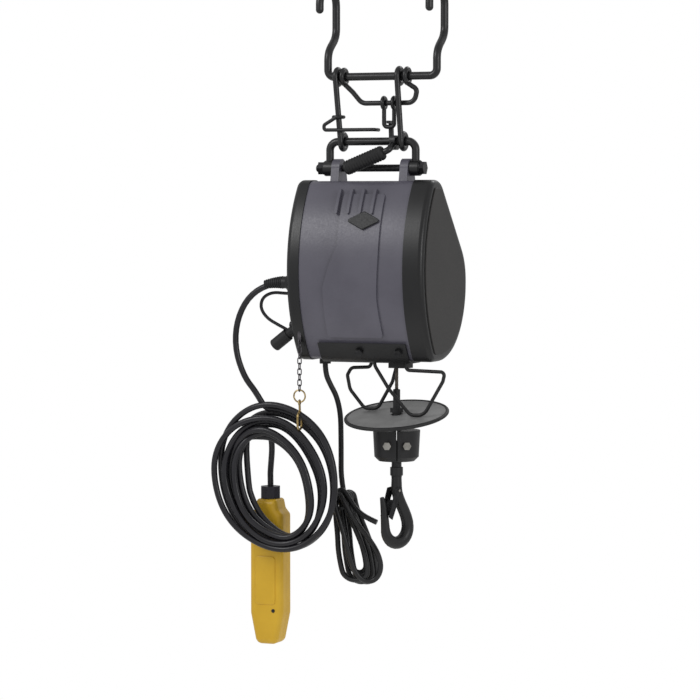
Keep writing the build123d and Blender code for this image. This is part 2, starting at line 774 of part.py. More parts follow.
# ---------------------------------------------------------------- gear train
between = hypot(DRUM_Y - MOTOR_Y, DRUM_Z - MOTOR_Z)
stand_off = sqrt(gear_centres**2 - (between / 2) ** 2)
along = ((DRUM_Y - MOTOR_Y) / between, (DRUM_Z - MOTOR_Z) / between)
COUNTER_Y = (MOTOR_Y + DRUM_Y) / 2 + stand_off * along[1]
COUNTER_Z = (MOTOR_Z + DRUM_Z) / 2 - stand_off * along[0]
to_motor = degrees(atan2(MOTOR_Z - COUNTER_Z, MOTOR_Y - COUNTER_Y))
to_drum = degrees(atan2(DRUM_Z - COUNTER_Z, DRUM_Y - COUNTER_Y))

motor_pinion = spur_gear(
    PINION_TEETH, *STAGE_1, MOTOR_Y, MOTOR_Z, to_motor + 180 + 180 / PINION_TEETH, pinion_bore
)
save(motor_pinion.part, "motor_pinion")
with BuildPart() as counter_gear:
    add(spur_gear(WHEEL_TEETH, *STAGE_1, COUNTER_Y, COUNTER_Z, to_motor, COUNTER_R, web=True).part)
    add(spur_gear(PINION_TEETH, *STAGE_2, COUNTER_Y, COUNTER_Z, to_drum, COUNTER_R).part)
    add(disc_on_x(64, STAGE_1[0] + STAGE_1[1], COUNTER_Y, COUNTER_Z, COUNTER_R).part)
    add(disc_on_x(STAGE_2[0] + STAGE_2[1], STAGE_1[0], COUNTER_Y, COUNTER_Z, 8).part)
save(counter_gear.part, "counter_gear")
drum_gear = spur_gear(
    WHEEL_TEETH, *STAGE_2, DRUM_Y, DRUM_Z, to_drum + 180 + 180 / WHEEL_TEETH, DRUM_SHAFT_R, web=True
)
save(drum_gear.part, "drum_gear")

# ---------------------------------------------------------------- drum, its shaft and the rope wound on it
with BuildPart() as rope_drum:
    add(disc_on_x(DRUM_LEFT, DRUM_RIGHT, DRUM_Y, DRUM_Z, DRUM_CORE_R).part)
    for flange_x in (DRUM_LEFT, DRUM_RIGHT - FLANGE_THICK):
        add(disc_on_x(flange_x, flange_x + FLANGE_THICK, DRUM_Y, DRUM_Z, FLANGE_R).part)
    add(disc_on_x(-13, STAGE_2[0] + STAGE_2[1] + 1, DRUM_Y, DRUM_Z, DRUM_SHAFT_R).part)
save(rope_drum.part, "rope_drum")

pack_left = DRUM_LEFT + FLANGE_THICK
pack_turns = int((DRUM_RIGHT - DRUM_LEFT - 2 * FLANGE_THICK) // ROPE_D)
pack_pitch = (DRUM_RIGHT - DRUM_LEFT - 2 * FLANGE_THICK) / pack_turns
with BuildPart() as wound_rope:
    with BuildSketch(Plane((0, DRUM_Y, DRUM_Z), x_dir=(1, 0, 0), z_dir=(0, -1, 0))):
        with Locations(((DRUM_LEFT + DRUM_RIGHT) / 2, (DRUM_CORE_R + pack_r) / 2)):
            Rectangle(pack_turns * pack_pitch, pack_r - DRUM_CORE_R)
        for turn in range(pack_turns):
            with Locations((pack_left + (turn + 0.5) * pack_pitch, pack_r)):
                Circle(pack_groove)
    revolve(axis=Axis((0, DRUM_Y, DRUM_Z), (1, 0, 0)))
save(wound_rope.part, "wound_rope")

# ---------------------------------------------------------------- bulkheads and bearings
motor_axis = (MOTOR_Y, MOTOR_Z, SHAFT_R, 14)
drum_axis = (DRUM_Y, DRUM_Z, DRUM_SHAFT_R, 16)
counter_axis = (COUNTER_Y, COUNTER_Z, COUNTER_R, 11)
BULKHEADS = (  # left face, right face and the axes that run in each
    (-13.0, -8.0, (motor_axis, drum_axis)),
    (64.5, 70.0, (motor_axis, drum_axis, counter_axis)),
)
with BuildPart() as bulkheads:
    for plate_x0, plate_x1, axes in BULKHEADS:
        with BuildSketch(Plane.YZ.offset(plate_x0)):
            add(body_section(WALL + GAP))
            for axis_y, axis_z, _, outer_r in axes:
                with Locations((axis_y, axis_z)):
                    Circle(outer_r, mode=Mode.SUBTRACT)
            with Locations((10, BODY_Z - 130)):
                Rectangle(80, 60, mode=Mode.SUBTRACT)
        extrude(amount=plate_x1 - plate_x0)
save(bulkheads.part, "bulkheads")
with BuildPart() as ball_bearings:
    for plate_x0, plate_x1, axes in BULKHEADS:
        for axis_y, axis_z, shaft_r, outer_r in axes:
            add(disc_on_x(plate_x0, plate_x1, axis_y, axis_z, outer_r, shaft_r + RUNNING).part)
save(ball_bearings.part, "ball_bearings")

# ---------------------------------------------------------------- electrical parts
capacitor = disc_on_x(-76, -22, 64, BODY_Z - 14, 19)
with BuildPart() as capacitor_can:
    add(capacitor.part)
    fillet(capacitor_can.edges(), 3)
save(capacitor_can.part, "capacitor")
with BuildPart() as terminal_block:
    with BuildSketch(Plane.YZ.offset(-72)):
        with Locations((22, BODY_Z - 76)):
            Rectangle(56, 24)
    extrude(amount=44)
    fillet(terminal_block.edges().filter_by(Axis.X), 3)
    for screw in range(4):
        with BuildSketch(Plane.XY.offset(BODY_Z - 64)):
            with Locations((-64 + 9 * screw, 22)):
                Circle(2.6)
        extrude(amount=-6, mode=Mode.SUBTRACT)
save(terminal_block.part, "terminal_block")

# ---------------------------------------------------------------- hook line: rope, collar, disc, weight
collar_top = DISC_Z + 38
disc_plane = Plane(origin=(ROPE_X, 0, DISC_Z), x_dir=(1, 0, -DISC_NORMAL[0]), z_dir=DISC_NORMAL)
rope_foot = collar_top
with BuildPart() as wire_rope:
    with BuildSketch(Plane.XY.offset(rope_foot)):
        with Locations((ROPE_X, 0)):
            Circle(ROPE_D / 2)
    extrude(amount=DRUM_Z - rope_foot)
save(wire_rope.part, "wire_rope")

STEM_R = 6.0
with BuildPart() as rope_collar:
    for from_z, to_z, stem_r in (
        (WEIGHT_TOP + GAP, DISC_Z + 12, STEM_R),
        (DISC_Z + DISC_THICK + 2.6, DISC_Z + 12, 9),
        (DISC_Z + 12, collar_top, 5),
    ):
        with BuildSketch(Plane.XY.offset(from_z)):
            with Locations((ROPE_X, 0)):
                Circle(stem_r)
        extrude(amount=to_z - from_z)
    fillet(rope_collar.faces().sort_by(Axis.Z)[-1].edges(), 1.5)
save(rope_collar.part, "rope_collar")

with BuildPart() as limit_disc:
    with BuildSketch(disc_plane):
        Circle(DISC_R)
        Circle(STEM_R + 1.5, mode=Mode.SUBTRACT)
    extrude(amount=DISC_THICK)
save(limit_disc.part, "limit_disc")

with BuildPart() as edging_ring:
    with BuildSketch(Plane.XZ):
        with Locations((DISC_R, DISC_THICK / 2)):
            Circle(EDGING_R)
        with Locations((DISC_R - 5, DISC_THICK / 2)):
            Rectangle(10, DISC_THICK, mode=Mode.SUBTRACT)
    revolve(axis=Axis.Z)
with BuildPart() as disc_edging:
    with Locations(disc_plane.location):
        add(edging_ring.part)
save(disc_edging.part, "disc_edging")

weight_top = WEIGHT_TOP
SPLIT_TURN = 22.0  # the weight's joint line faces this far round from the front
split_half = 0.8
with BuildPart() as hook_weight:
    with BuildSketch(Plane((ROPE_X, 0, 0), x_dir=(1, 0, 0), z_dir=(0, -1, 0))):
        with BuildLine():
            Polyline(
                (8, weight_top),
                (WEIGHT_R, weight_top),
                (WEIGHT_R - 2, weight_top - WEIGHT_H + 6),
                (WEIGHT_R - 8, weight_top - WEIGHT_H),
                (8, weight_top - WEIGHT_H),
                close=True,
            )
        make_face()
    revolve(axis=Axis((ROPE_X, 0, 0), (0, 0, 1)))
    with Locations(Location((ROPE_X, 0, weight_top - WEIGHT_H / 2), (0, 0, SPLIT_TURN))):
        Box(2 * split_half, 2 * WEIGHT_R + 10, WEIGHT_H + 10, mode=Mode.SUBTRACT)
save(hook_weight.part, "hook_weight")

weight_bolt_z = weight_top - 20
clamp_dir = Vector(cos(radians(SPLIT_TURN)), sin(radians(SPLIT_TURN)), 0)
front_dir = Vector(sin(radians(SPLIT_TURN)), -cos(radians(SPLIT_TURN)), 0)
with BuildPart() as weight_bolts:
    for side in (-1, 1):
        seat = Vector(ROPE_X, 0, weight_bolt_z) + front_dir * (WEIGHT_R - 0.5)
        with BuildSketch(Plane(origin=seat + clamp_dir * (side * 14), z_dir=front_dir)):
            RegularPolygon(5, 6, major_radius=False)
        extrude(amount=3.5)
save(weight_bolts.part, "weight_bolts")

# ---------------------------------------------------------------- swivel shank, hook and latch
HOOK_TURN = 60.0  # the hook's plane, turned from the X axis
shank_top = weight_top - 14
bowl_r = 26.0
bowl_z = -66.0
hook_plane = Plane(
    origin=(ROPE_X, 0, HOOK_TOP),
    x_dir=(cos(radians(HOOK_TURN)), sin(radians(HOOK_TURN)), 0),
    z_dir=(sin(radians(HOOK_TURN)), -cos(radians(HOOK_TURN)), 0),
)
latch_pin_at = (-3.0, -20.0)
with BuildPart() as hook_bend:
    with BuildLine(hook_plane) as hook_route:
        Line((0, 4), (0, -16))
        shoulder = TangentArc((0, -16), (bowl_r / 2, (bowl_z - 16) / 2), tangent=(0, -1))
        TangentArc((bowl_r / 2, (bowl_z - 16) / 2), (bowl_r, bowl_z), tangent=shoulder % 1)
        ThreePointArc((bowl_r, bowl_z), (0, bowl_z - bowl_r), (-bowl_r, bowl_z))
        Line((-bowl_r, bowl_z), (-bowl_r, bowl_z + 10))
    with BuildSketch(Plane(origin=hook_route.line @ 0, z_dir=hook_route.line % 0)):
        Circle(HOOK_R)
    sweep()
    with BuildSketch(Plane(origin=hook_route.line @ 1, z_dir=(0, 0, 1))):
        Circle(HOOK_R)
    extrude(amount=5, taper=35)
with BuildPart() as load_hook:
    with BuildSketch(Plane.XY.offset(shank_top)):
        with Locations((ROPE_X, 0)):
            Circle(SHANK_R)
    extrude(amount=HOOK_TOP - shank_top)
    with BuildSketch(Plane.XY.offset(HOOK_TOP + 12)):
        with Locations((ROPE_X, 0)):
            Circle(9)
    extrude(amount=-8)
    add(hook_bend.part)
    with BuildSketch(hook_plane.offset(-11)):
        with Locations(latch_pin_at):
            Circle(1.8)
    extrude(amount=22)
save(load_hook.part, "load_hook")

latch_cheek = HOOK_R + 0.8
with BuildPart() as hook_latch:
    with BuildSketch(hook_plane.offset(-latch_cheek - 1.6)):
        with BuildLine():
            Polyline((2, -15), (-9, -17), (-21, -56), (-15, -60), (-2, -28), close=True)
        make_face()
    extrude(amount=2 * latch_cheek + 3.2)
    with BuildSketch(hook_plane.offset(-latch_cheek)):
        with BuildLine():
            Polyline((20, -4), (-30, -4), (-26, -66), (-14.5, -66), (-10, -52), (-1.5, -34), (12, -30), close=True)
        make_face()
    extrude(amount=2 * latch_cheek, mode=Mode.SUBTRACT)
    with BuildSketch(hook_plane.offset(-latch_cheek)):
        with BuildLine():
            Polyline((-8, -34), (-9.6, -33), (-17.6, -54), (-15.8, -55), close=True)
        make_face()
    extrude(amount=2 * latch_cheek)
    with BuildSketch(hook_plane.offset(-20)):
        with Locations(latch_pin_at):
            Circle(1.8 + RUNNING)
    extrude(amount=40, mode=Mode.SUBTRACT)
save(hook_latch.part, "hook_latch")

# ---------------------------------------------------------------- cable gland, boot connector and strain wire on the left end
gland_at = Vector(LEFT_END, -45, -384)
with BuildPart() as cable_gland:
    with BuildSketch(Plane(origin=gland_at, z_dir=(-1, 0, 0))):
        RegularPolygon(11, 6)
    extrude(amount=7)
    with BuildSketch(Plane(origin=gland_at, z_dir=(-1, 0, 0))):
        Circle(8.5)
    extrude(amount=15)
    fillet(cable_gland.faces().sort_by(Axis.X)[0].edges(), 2)
    with BuildSketch(Plane(origin=gland_at, z_dir=(-1, 0, 0))):
        Circle(CABLE_D / 2 + GAP)
    extrude(amount=20, mode=Mode.SUBTRACT)
save(cable_gland.part, "cable_gland")

# ---------------------------------------------------------------- thin link cable from the gland plate to the boot
THIN_ROUTE = [
    (LEFT_END - GAP, -30, -400),
    (-118, -30, -400),
    (-138, -33, -398),
    (-153, -34, -406),
    (-156, -34, -421),
    (-146, -33, -435),
    (-130, -31, -444),
    (-116, -30, -451),
]
link_cable = cord_tube(THIN_ROUTE, THIN_D, "link_cable")
save(link_cable.part, "link_cable")

# ---------------------------------------------------------------- rubber boot where the link cable goes back in
boot_base = Vector(LEFT_END, -28, -451)
boot_dir = Vector(-35, 0, -27).normalized()
with BuildPart() as side_boot:
    with BuildSketch(Plane(origin=boot_base, z_dir=(-1, 0, 0))):
        Circle(9)
    extrude(amount=6)
    with BuildSketch(Plane(origin=boot_base + Vector(-5, 0, 0), z_dir=boot_dir)):
        Circle(7)
    extrude(amount=12)
    with BuildSketch(Plane(origin=boot_base + Vector(-5, 0, 0) + boot_dir * 10, z_dir=boot_dir)):
        Circle(9)
    extrude(amount=28)
    fillet(side_boot.edges().filter_by(GeomType.CIRCLE).sort_by(Axis.Z)[:1], 3)
    add(link_cable.part, mode=Mode.SUBTRACT)
save(side_boot.part, "side_boot")

# ---------------------------------------------------------------- control cable: lead, coil and tail
LEAD_ROUTE = [
    (-118, -45, -384),
    (-142, -45, -387),
    (-171, -45, -406),
    (-188, -45, -440),
    (-190, -45, -479),
    (-177, -44, -517),
    (-148, -42, -548),
    (-112, -40, -561),
]
control_lead = cord_tube(LEAD_ROUTE, CABLE_D, "control_lead")
save(control_lead.part, "control_cable_lead")

TAIL_ROUTE = [
    (-158, -17, -588),
    (-149, -13, -602),
    (-150, -7, -620),
    (-155, 1, -640),
    (-159, 7, -656),
    (PENDANT_X, PENDANT_Y, -667),
    (PENDANT_X, PENDANT_Y, -676),
]
control_tail = cord_tube(TAIL_ROUTE, CABLE_D, "control_tail")
save(control_tail.part, "control_cable_tail")

CHAIN_X, CHAIN_Y = -90.0, -49.0
ring_z = -542.0  # the split ring between the chain and the snap hook
COIL_CENTRE = Vector(-133, -38, -657)
COIL_OUT = (94, 107)
COIL_IN = (36, 71)
COIL_IN_AT = (-3, -15)  # the opening sits low and to the left
COIL_THICK = 30.0
COIL_TILT = 20.0
with BuildPart() as control_coil:
    with BuildSketch(Plane(origin=COIL_CENTRE, x_dir=(1, 0, 0), z_dir=(0, -1, 0))):
        Ellipse(*COIL_OUT, rotation=COIL_TILT)
        with Locations(COIL_IN_AT):
            Ellipse(*COIL_IN, rotation=COIL_TILT + 5, mode=Mode.SUBTRACT)
    extrude(amount=COIL_THICK / 2, both=True)
    fillet(control_coil.edges(), 9)
    add(control_lead.part, mode=Mode.SUBTRACT)
    add(control_tail.part, mode=Mode.SUBTRACT)
    with Locations((CHAIN_X, CHAIN_Y, ring_z)):
        Box(12, 24, 104, mode=Mode.SUBTRACT)
save(control_coil.part, "control_cable_coil")

# ---------------------------------------------------------------- power cord: lead and hank
POWER_ROUTE = [
    (-74, 6, body_bottom - 4),
    (-74, 6, -512),
    (-68, 9, -528),
    (-60, 14, -545),
    (-56, 19, -570),
    (-57, 23, -600),
    (-58, 26, -632),
    (-59, 28, -661),
    (-58, 28, -684),
]
power_lead = cord_tube(POWER_ROUTE, POWER_D, "power_lead")
save(power_lead.part, "power_cord_lead")

HANK_LEVELS = (  # height, X of the middle, and half width along X and along Y
    (-684, -56, 12, 12),
    (-745, -40, 26, 18),
    (-788, -31, 27, 18),
    (-810, -30, 18, 12),
)
with BuildPart() as power_hank:
    for level_z, level_x, half_x, half_y in HANK_LEVELS:
        with BuildSketch(Plane.XY.offset(level_z)):
            with Locations((level_x, 28)):
                Ellipse(half_x, half_y)
    loft()
    add(power_lead.part, mode=Mode.SUBTRACT)
save(power_hank.part, "power_cord_hank")

with BuildPart() as power_gland:
    with BuildSketch(Plane.XY.offset(body_bottom)):
        with Locations((-74, 6)):
            Circle(8)
    extrude(amount=-8)
    with BuildSketch(Plane.XY.offset(body_bottom + 8)):
        with Locations((-74, 6)):
            Circle(POWER_D / 2 + GAP)
    extrude(amount=-20, mode=Mode.SUBTRACT)
save(power_gland.part, "power_gland")

# ---------------------------------------------------------------- chains, ring and snap hook
LINK_PITCH = 7.6
CHAIN_WIRE = 1.6
CHAIN_LINKS = 9


def chain_link(x, y, z, turned):
    """One oval chain link hanging with its middle at (x, y, z)."""
    flat = Plane(origin=(x, y, z), x_dir=(0, 1, 0) if turned else (1, 0, 0), z_dir=(1, 0, 0) if turned else (0, -1, 0))
    half = (LINK_PITCH + CHAIN_WIRE) / 2
    with BuildPart() as made:
        with BuildLine(flat) as route:
            FilletPolyline(
                (2.6, half),
                (2.6, -half),
                (-2.6, -half),
                (-2.6, half),
                radius=2.4,
                close=True,
            )
        with BuildSketch(Plane(origin=route.line @ 0, z_dir=route.line % 0)):
            Circle(CHAIN_WIRE / 2)
        sweep()
    return made


RING_R = 8.5
chain_foot = ring_z + RING_R + 2.6
with BuildPart() as coil_chain:
    for step in range(CHAIN_LINKS):
        add(chain_link(CHAIN_X, CHAIN_Y, chain_foot + LINK_PITCH * step, step % 2 == 0).part)
chain_top = chain_foot + LINK_PITCH * (CHAIN_LINKS - 0.5)
with BuildPart() as chain_eye:
    with BuildSketch(Plane.XY.offset(chain_top + 3)):
        with Locations((CHAIN_X, CHAIN_Y)):
            Circle(3)
    extrude(amount=14)
    add(ring_at(CHAIN_X, CHAIN_Y, chain_top + 1, (0, 90, 0), 3.6, 2).part)
    with BuildSketch(Plane.YZ.offset(LEFT_END)):
        add(body_section(-1.5))
    extrude(amount=LEFT_SEAM - LEFT_END, mode=Mode.SUBTRACT)
with BuildPart() as chain_and_eye:
    add(coil_chain.part)
    add(chain_eye.part)
save(chain_and_eye.part, "coil_chain")

snap_top = ring_z - RING_R
with BuildPart() as snap_hook:
    add(
        bent_rod(
            [
                (CHAIN_X, CHAIN_Y, snap_top - 2),
                (CHAIN_X, CHAIN_Y + 1, snap_top - 12),
                (CHAIN_X, CHAIN_Y - 7, snap_top - 18),
                (CHAIN_X, CHAIN_Y - 7, snap_top - 38),
                (CHAIN_X, CHAIN_Y + 7, snap_top - 38),
                (CHAIN_X, CHAIN_Y + 7, snap_top - 26),
            ],
            [3, 5, 6, 6],
            3.2,
        ).part
    )
    add(ring_at(CHAIN_X, CHAIN_Y, snap_top - 0.3, (0, 90, 0), 3.2, 2.2).part)
    add(ring_at(CHAIN_X, CHAIN_Y, ring_z, (90, 0, 0), RING_R, 2.2).part)
save(snap_hook.part, "snap_hook")
with BuildPart() as snap_gate:
    add(
        bent_rod(
            [(CHAIN_X, CHAIN_Y + 7, snap_top - 24), (CHAIN_X, CHAIN_Y + 3.6, snap_top - 13)],
            [],
            2.6,
        ).part
    )
save(snap_gate.part, "snap_gate")

# ---------------------------------------------------------------- pendant: two shells, seal, buttons
bottom_r = 30.0
pendant_mid = PENDANT_TOP - PENDANT_LENGTH / 2
half_d = PENDANT_DEPTH / 2


def pendant_block(inset):
    """The pendant's outer form: a long round-ended body with a narrower shoulder at the cable."""
    with BuildPart() as block:
        with BuildSketch(Plane((PENDANT_X, PENDANT_Y, PENDANT_TOP), x_dir=(1, 0, 0), z_dir=(0, -1, 0))):
            with BuildLine():
                half_w = PENDANT_W / 2 - inset
                FilletPolyline(
                    (0, -inset),
                    (15 - inset, -inset),
                    (18 - inset, -14),
                    (half_w, -22),
                    (half_w, -PENDANT_LENGTH + 44),
                    (16 - inset, -PENDANT_LENGTH + inset),
                    (0, -PENDANT_LENGTH + inset),
                    radius=(4, 8, 8, 24, 10),
                )
                mirror(about=Plane.YZ)
            make_face()
        extrude(amount=half_d - inset, both=True)
        fillet(block.edges().filter_by(Axis.Y, reverse=True), 8 - inset)
    return block


shell = 3.0
outer_block = pendant_block(0)
inner_block = pendant_block(shell)
split_y = PENDANT_Y
for shell_name, keep_dir in (("pendant_rear_shell", -1), ("pendant_front_shell", 1)):
    with BuildPart() as pendant_shell:
        add(outer_block.part)
        add(inner_block.part, mode=Mode.SUBTRACT)
        with BuildSketch(Plane.XY.offset(PENDANT_TOP - 8)):
            with Locations((PENDANT_X, PENDANT_Y)):
                Circle(7)
        extrude(amount=20, mode=Mode.SUBTRACT)
        split(
            bisect_by=Plane(
                origin=(0, split_y + keep_dir * 0.15, 0),
                z_dir=(0, keep_dir, 0),
            )
        )
        if keep_dir == 1:
            for button_z in (-60, -92, -126):
                with BuildSketch(Plane.XZ.offset(-PENDANT_Y - half_d - 2)):
                    with Locations((PENDANT_X, PENDANT_TOP + button_z)):
                        Circle(10.5 + 0.4)
                extrude(amount=12, mode=Mode.SUBTRACT)
    save(pendant_shell.part, shell_name)

for button_name, button_z in (("up_button", -60), ("down_button", -92), ("stop_button", -126)):
    with BuildPart() as button:
        with BuildSketch(Plane.XZ.offset(-PENDANT_Y - half_d - 4)):
            with Locations((PENDANT_X, PENDANT_TOP + button_z)):
                Circle(10.5)
        extrude(amount=14)
        fillet(button.faces().sort_by(Axis.Y)[-1].edges(), 2)
        with BuildSketch(Plane.XZ.offset(-PENDANT_Y - half_d + shell + 6)):
            with Locations((PENDANT_X, PENDANT_TOP + button_z)):
                Circle(12)
        extrude(amount=2)
    save(button.part, button_name)

with BuildPart() as pendant_gland:
    with BuildSketch(Plane.XY.offset(PENDANT_TOP - 10)):
        with Locations((PENDANT_X, PENDANT_Y)):
            Circle(6.8)
    extrude(amount=14)
    with BuildSketch(Plane.XY.offset(PENDANT_TOP + GAP)):
        with Locations((PENDANT_X, PENDANT_Y)):
            RegularPolygon(14.5, 8)
    extrude(amount=17)
    with BuildSketch(Plane.XY.offset(PENDANT_TOP - 12)):
        with Locations((PENDANT_X, PENDANT_Y)):
            Circle(CABLE_D / 2 + 2 * GAP)
    extrude(amount=40, mode=Mode.SUBTRACT)
save(pendant_gland.part, "pendant_gland")
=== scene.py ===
"""Looks of the suspended wire-rope hoist: cables, rope, hook, grip, finishes, light and camera."""

from math import cos, pi, radians, sin

import bpy
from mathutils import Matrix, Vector


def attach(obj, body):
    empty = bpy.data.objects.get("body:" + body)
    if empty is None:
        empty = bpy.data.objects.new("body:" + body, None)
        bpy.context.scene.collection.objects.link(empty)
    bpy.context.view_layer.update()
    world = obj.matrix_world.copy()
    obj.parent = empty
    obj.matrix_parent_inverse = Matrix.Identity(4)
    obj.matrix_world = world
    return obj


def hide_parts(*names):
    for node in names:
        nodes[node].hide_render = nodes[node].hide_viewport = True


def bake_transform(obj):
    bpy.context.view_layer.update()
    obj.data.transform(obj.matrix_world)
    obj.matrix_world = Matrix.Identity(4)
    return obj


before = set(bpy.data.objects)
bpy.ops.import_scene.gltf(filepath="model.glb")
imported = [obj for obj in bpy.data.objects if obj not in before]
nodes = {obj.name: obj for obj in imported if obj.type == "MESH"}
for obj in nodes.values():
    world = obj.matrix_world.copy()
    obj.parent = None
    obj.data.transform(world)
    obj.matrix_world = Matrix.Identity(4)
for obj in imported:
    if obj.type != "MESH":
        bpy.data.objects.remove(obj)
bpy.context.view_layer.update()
scene = bpy.context.scene


# ---------------------------------------------------------------- camera, light and floor
# A long lens from the front, a little to the right and just above the middle, in a white studio.
aim = Vector((-0.034, 0.0, -0.479))
turn, lift, distance = radians(22), radians(3), 4.0
back = Vector((sin(turn) * cos(lift), -cos(turn) * cos(lift), sin(lift)))
camera_data = bpy.data.cameras.new("camera")
camera_data.sensor_width = 36.0
camera_data.lens = 36.0 * distance / 0.98
camera_data.clip_end = 50.0
camera = bpy.data.objects.new("camera", camera_data)
camera.location = aim + back * distance
camera.rotation_mode = "QUATERNION"
camera.rotation_quaternion = (-back).to_track_quat("-Z", "Y")
scene.collection.objects.link(camera)
scene.camera = camera
scene.view_settings.view_transform = "Standard"

world = bpy.data.worlds.new("studio")
world.use_nodes = True
sky = world.node_tree
sky.nodes["Background"].inputs["Color"].default_value = (1.0, 1.0, 1.0, 1.0)
rays = sky.nodes.new("ShaderNodeLightPath")  # white to the eye, dimmer as a light
dim = sky.nodes.new("ShaderNodeMapRange")
dim.inputs["To Min"].default_value = 0.55
sky.links.new(rays.outputs["Is Camera Ray"], dim.inputs["Value"])
sky.links.new(dim.outputs["Result"], sky.nodes["Background"].inputs["Strength"])
scene.world = world

for light_name, where, width, power in (
    ("key_light", (-1.6, -2.2, 1.2), 1.0, 26.0),
    ("fill_light", (2.4, -1.2, 0.2), 0.8, 12.0),
    ("back_light", (0.6, 2.2, 1.4), 1.0, 10.0),
):
    lamp_data = bpy.data.lights.new(light_name, "AREA")
    lamp_data.size = width
    lamp_data.energy = power
    lamp = bpy.data.objects.new(light_name, lamp_data)
    lamp.location = where
    lamp.rotation_mode = "QUATERNION"
    lamp.rotation_quaternion = (aim - Vector(where)).to_track_quat("-Z", "Y")
    scene.collection.objects.link(lamp)


def mesh_piece(name, points, faces, smooth_below=35):
    """One mesh object in place, smooth except over edges sharper than the angle."""
    mesh = bpy.data.meshes.new(name)
    mesh.from_pydata([tuple(p) for p in points], [], faces)
    mesh.validate()
    mesh.polygons.foreach_set("use_smooth", [True] * len(mesh.polygons))
    mesh.set_sharp_from_angle(angle=radians(smooth_below))
    piece = bpy.data.objects.new(name, mesh)
    scene.collection.objects.link(piece)
    return piece


floor_edge = [(1.15 * cos(pi * k / 48), 1.15 * sin(pi * k / 48), -1.25) for k in range(96)]
floor = mesh_piece("floor", floor_edge, [tuple(range(96))])


# ---------------------------------------------------------------- finishes
# Every finish is procedural: a broad patchy change of tone, and a fine grain that varies the gloss
# and roughens the surface.
def srgb(code):
    """Linear colour of a six-digit screen colour."""
    shares = [int(code[i : i + 2], 16) / 255 for i in (0, 2, 4)]
    return tuple(c / 12.92 if c <= 0.04045 else ((c + 0.055) / 1.055) ** 2.4 for c in shares) + (1.0,)


def add_node(tree, kind, inputs=None, **settings):
    """Adds a node; each input is a value or another node's output socket."""
    node = tree.nodes.new(kind)
    for key, value in settings.items():
        setattr(node, key, value)
    for key, value in (inputs or {}).items():
        if isinstance(value, bpy.types.NodeSocket):
            tree.links.new(value, node.inputs[key])
        else:
            node.inputs[key].default_value = value
    return node


def finish(
    name, dark, light, rough, metal=0.0, patch=35.0, grain=900.0, relief=0.04, stretch=(1, 1, 1), coat=0.0
):
    """A finish between two tones, its gloss around rough, with grain per metre and relief in mm."""
    material = bpy.data.materials.new(name)
    material.use_nodes = True
    tree = material.node_tree
    shader = tree.nodes["Principled BSDF"]
    place = add_node(tree, "ShaderNodeTexCoord").outputs["Object"]
    spread = add_node(tree, "ShaderNodeMapping", {"Vector": place, "Scale": stretch}).outputs["Vector"]
    clouds = add_node(tree, "ShaderNodeTexNoise", {"Vector": place, "Scale": patch, "Detail": 4.0})
    fine = add_node(tree, "ShaderNodeTexNoise", {"Vector": spread, "Scale": grain, "Detail": 3.0})
    tone = add_node(
        tree, "ShaderNodeMapRange", {"Value": clouds.outputs["Fac"], "From Min": 0.3, "From Max": 0.7}
    ).outputs["Result"]
    colour = add_node(tree, "ShaderNodeMix", data_type="RGBA")
    tree.links.new(tone, colour.inputs[0])
    colour.inputs[6].default_value = srgb(dark)
    colour.inputs[7].default_value = srgb(light)
    tree.links.new(colour.outputs[2], shader.inputs["Base Color"])
    gloss = add_node(
        tree,
        "ShaderNodeMapRange",
        {
            "Value": fine.outputs["Fac"],
            "From Min": 0.3,
            "From Max": 0.7,
            "To Min": rough - 0.07,
            "To Max": rough + 0.07,
        },
    )
    tree.links.new(gloss.outputs["Result"], shader.inputs["Roughness"])
    bump = add_node(
        tree, "ShaderNodeBump", {"Height": fine.outputs["Fac"], "Strength": 1.0, "Distance": relief / 1000}
    )
    tree.links.new(bump.outputs["Normal"], shader.inputs["Normal"])
    shader.inputs["Metallic"].default_value = metal
    shader.inputs["Coat Weight"].default_value = coat
    if coat:
        shader.inputs["Coat Roughness"].default_value = 0.25
    return material


def paint(material, *names):
    """Gives the finish to these nodes of the frame."""
    for node_name in names:
        nodes[node_name].data.materials.clear()
        nodes[node_name].data.materials.append(material)


def dress(piece, material, body, slot, *stands_for):
    """Gives a new piece its finish, the body it rides on and the nodes it stands for. The slot is not used.
    """
    piece.data.materials.append(material)
    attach(piece, body)
    if stands_for:
        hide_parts(*stands_for)


studio_white = finish("studio_floor", "F4F4F2", "FBFBFA", 0.85, patch=1.5, grain=40.0, relief=0.01)
floor.data.materials.append(studio_white)

# Hanger bar, links, bail and wires: bent round bar under satin black paint.
black_bar = finish(
    "satin_black_paint", "0D0D0F", "171719", 0.38, patch=60.0, grain=700.0, relief=0.03, coat=0.15
)
paint(black_bar, "hanger_frame", "suspension_links", "cradle_loop", "latch_link", "hanger_bail", "lock_lever")
black_wire = finish("black_wire", "0E0E10", "19191B", 0.42, patch=90.0, grain=1500.0, relief=0.02)
paint(black_wire, "keeper_wire", "limit_wires")
zinc = finish("zinc_plate", "8E8C86", "B5B3AD", 0.34, metal=1.0, patch=120.0, grain=1200.0, relief=0.02)
paint(zinc, "weight_bolts")

